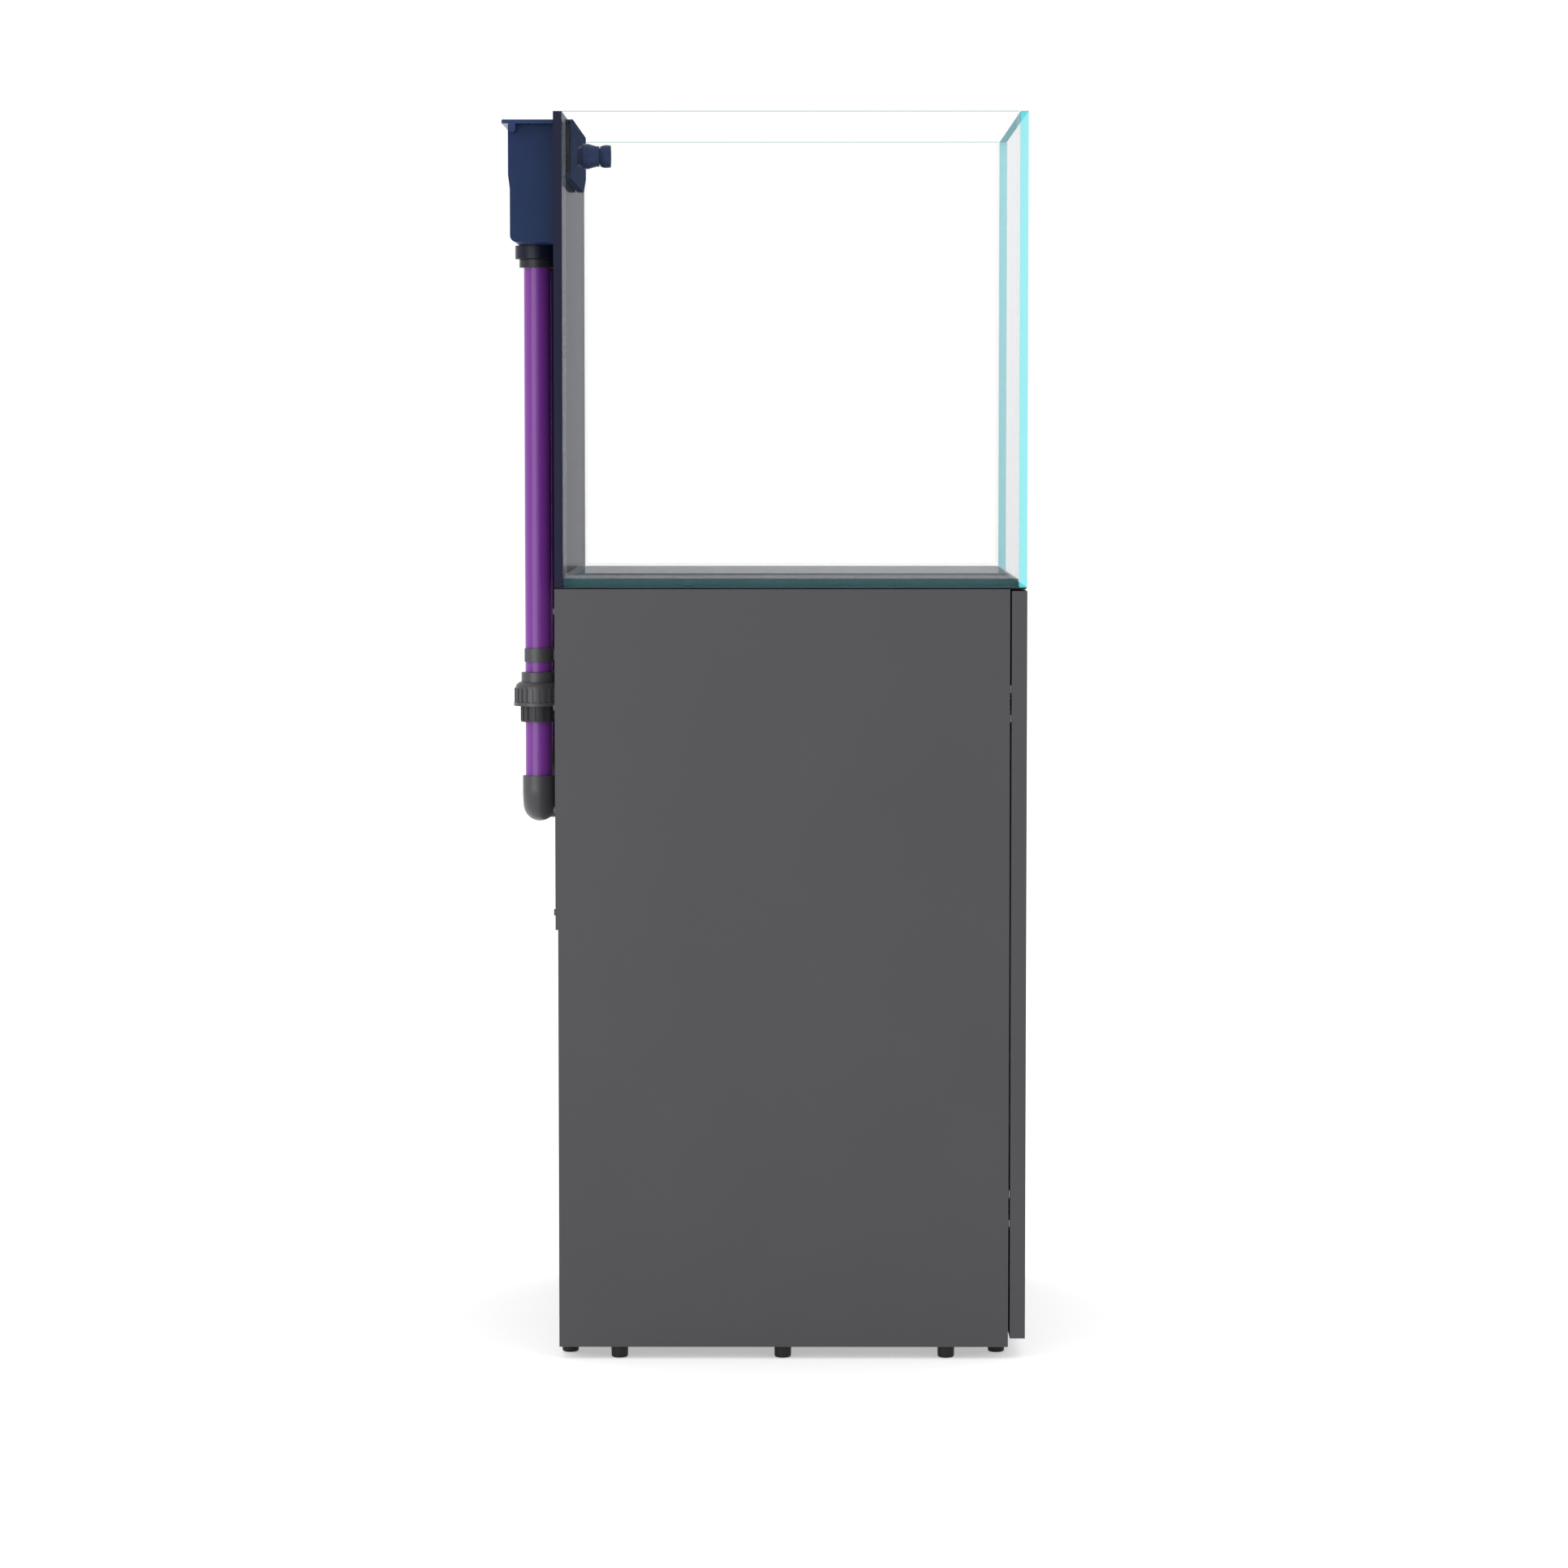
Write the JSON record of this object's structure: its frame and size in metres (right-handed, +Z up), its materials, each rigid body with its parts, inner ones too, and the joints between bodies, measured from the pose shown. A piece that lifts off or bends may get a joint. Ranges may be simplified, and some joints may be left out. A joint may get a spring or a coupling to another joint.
{
  "type": "aquarium on stand",
  "caption": "Rimless glass aquarium on a cabinet with doors, with rear overflow box, drain and return pipes, aimable nozzle, and a sump with its pump.",
  "frame": {"origin": "on the floor, at the centre of the outline", "axes": "+Z up, the doors and the front pane face -Y, the left side is -X"},
  "size_m": [0.6, 0.611, 1.456],
  "materials": {
    "tank_glass": "clear polished, blue-green edges",
    "dark_glass": "back pane, painted dark grey behind",
    "silicone": "clear, satin",
    "mat_foam": "closed-cell foam, matt",
    "board_grey": "laminated board, satin grey",
    "blue_acrylic": "dark blue, semi-gloss",
    "purple_pvc": "purple pipe, semi-gloss",
    "grey_pvc": "moulded dark grey, satin",
    "black_plastic": "moulded, satin",
    "white_plastic": "moulded, satin",
    "handwheel_red": "moulded, semi-gloss",
    "rubber": "matt",
    "steel": "nickel-plated",
    "sump_glass": "clear polished",
    "felt": "needle felt"
  },
  "bodies": {
    "root": {"front_glass": "tank_glass", "back_glass": "dark_glass", "left_glass": "tank_glass", "right_glass": "tank_glass", "base_glass": "tank_glass", "tank_silicone": "silicone", "support_mat": "mat_foam", "weir_hood": "blue_acrylic", "weir_comb": "black_plastic", "glass_gaskets": "rubber", "overflow_box": "blue_acrylic", "box_screws": "black_plastic", "bulkhead_bodies": "grey_pvc", "bulkhead_nuts": "blue_acrylic", "pipe_collars": "grey_pvc", "return_riser": "grey_pvc", "standpipes": "grey_pvc", "nozzle_base": "blue_acrylic", "return_pipes": "purple_pvc", "drain_pipes": "purple_pvc", "union_sockets": "grey_pvc", "union_bodies": "grey_pvc", "return_elbows": "grey_pvc", "drain_elbows": "grey_pvc", "pipe_clips": "grey_pvc", "gate_valve_body": "grey_pvc", "return_hose": "rubber", "hose_clamps": "steel", "left_side": "board_grey", "right_side": "board_grey", "cabinet_top": "board_grey", "cabinet_base": "board_grey", "back_panel": "board_grey", "rear_stretcher": "board_grey", "feet": "black_plastic", "back_screws": "steel", "hinge_arms": "steel", "latch_bodies": "grey_pvc", "sump_tank": "sump_glass", "sump_baffles": "sump_glass", "return_pump": "black_plastic"},
    "left_hinge_links": {"left_hinge_links": "steel"},
    "left_door": {"left_door": "board_grey", "left_hinge_cups": "steel"},
    "right_hinge_links": {"right_hinge_links": "steel"},
    "right_door": {"right_door": "board_grey", "right_hinge_cups": "steel"},
    "left_latch_plunger": {"left_latch_plunger": "white_plastic"},
    "right_latch_plunger": {"right_latch_plunger": "white_plastic"},
    "nozzle_segment": {"nozzle_segment": "blue_acrylic"},
    "nozzle_tip": {"nozzle_tip": "blue_acrylic"},
    "return_union_nut": {"return_union_nut": "grey_pvc"},
    "main_union_nut": {"main_union_nut": "grey_pvc"},
    "emergency_union_nut": {"emergency_union_nut": "grey_pvc"},
    "valve_handwheel": {"valve_handwheel": "handwheel_red"},
    "valve_gate": {"valve_gate": "black_plastic"},
    "overflow_lid": {"overflow_lid": "blue_acrylic"},
    "filter_sock": {"sock_ring": "white_plastic", "sock_bag": "felt"},
    "pump_impeller": {"pump_impeller": "white_plastic"}
  },
  "joints": [
    {"name": "left_link_swing", "type": "hinge", "parent": "root", "child": "left_hinge_links", "pos_m": [-0.275, -0.2735, 0.45], "axis": [0, 0, -1], "range_deg": [-25, 0]},
    {"name": "left_door_swing", "type": "hinge", "parent": "left_hinge_links", "child": "left_door", "pos_m": [-0.292, -0.2915, 0.45], "axis": [0, 0, -1], "range_deg": [0, 125]},
    {"name": "right_link_swing", "type": "hinge", "parent": "root", "child": "right_hinge_links", "pos_m": [0.275, -0.2735, 0.45], "axis": [0, 0, 1], "range_deg": [-25, 0]},
    {"name": "right_door_swing", "type": "hinge", "parent": "right_hinge_links", "child": "right_door", "pos_m": [0.292, -0.2915, 0.45], "axis": [0, 0, 1], "range_deg": [0, 125]},
    {"name": "left_latch_press", "type": "slide", "parent": "root", "child": "left_latch_plunger", "axis": [0, 1, 0], "range_m": [0, 0.003], "stiffness_N_per_m": 400, "springref_m": -0.002},
    {"name": "right_latch_press", "type": "slide", "parent": "root", "child": "right_latch_plunger", "axis": [0, 1, 0], "range_m": [0, 0.003], "stiffness_N_per_m": 400, "springref_m": -0.002},
    {"name": "nozzle_swivel", "type": "hinge", "parent": "root", "child": "nozzle_segment", "pos_m": [-0.15, 0.215, 1.4123], "axis": [0, 1, 0], "continuous": true},
    {"name": "nozzle_tilt", "type": "hinge", "parent": "nozzle_segment", "child": "nozzle_tip", "pos_m": [-0.15, 0.1903, 1.4123], "axis": [1, 0, 0], "range_deg": [-12, 12]},
    {"name": "return_union_turn", "type": "hinge", "parent": "root", "child": "return_union_nut", "pos_m": [-0.15, 0.2709, 0.77], "axis": [0, 0, 1], "continuous": true},
    {"name": "main_union_turn", "type": "hinge", "parent": "root", "child": "main_union_nut", "pos_m": [-0.033, 0.2709, 0.77], "axis": [0, 0, 1], "continuous": true},
    {"name": "emergency_union_turn", "type": "hinge", "parent": "root", "child": "emergency_union_nut", "pos_m": [0.029, 0.2709, 0.77], "axis": [0, 0, 1], "continuous": true},
    {"name": "valve_wheel_turn", "type": "hinge", "parent": "root", "child": "valve_handwheel", "pos_m": [-0.033, 0.0364, 0.56], "axis": [0, -1, 0], "range_deg": [0, 1800]},
    {"name": "valve_gate_slide", "type": "slide", "parent": "root", "child": "valve_gate", "axis": [0, 1, 0], "range_m": [0, 0.0268]},
    {"name": "overflow_lid_lift", "type": "slide", "parent": "root", "child": "overflow_lid", "axis": [0, 0, 1], "range_m": [0, 0.04]},
    {"name": "filter_sock_lift", "type": "slide", "parent": "root", "child": "filter_sock", "axis": [0, 0, 1], "range_m": [0, 0.06]},
    {"name": "impeller_spin", "type": "hinge", "parent": "root", "child": "pump_impeller", "pos_m": [-0.185, 0.13, 0.08], "axis": [0, 1, 0], "continuous": true}
  ],
  "couplings": [
    {"joint": "left_link_swing", "follows": "left_door_swing", "ratio": -0.2},
    {"joint": "right_link_swing", "follows": "right_door_swing", "ratio": -0.2},
    {"joint": "valve_gate_slide", "follows": "valve_wheel_turn", "m_per_rad": 0.00085299}
  ]
}
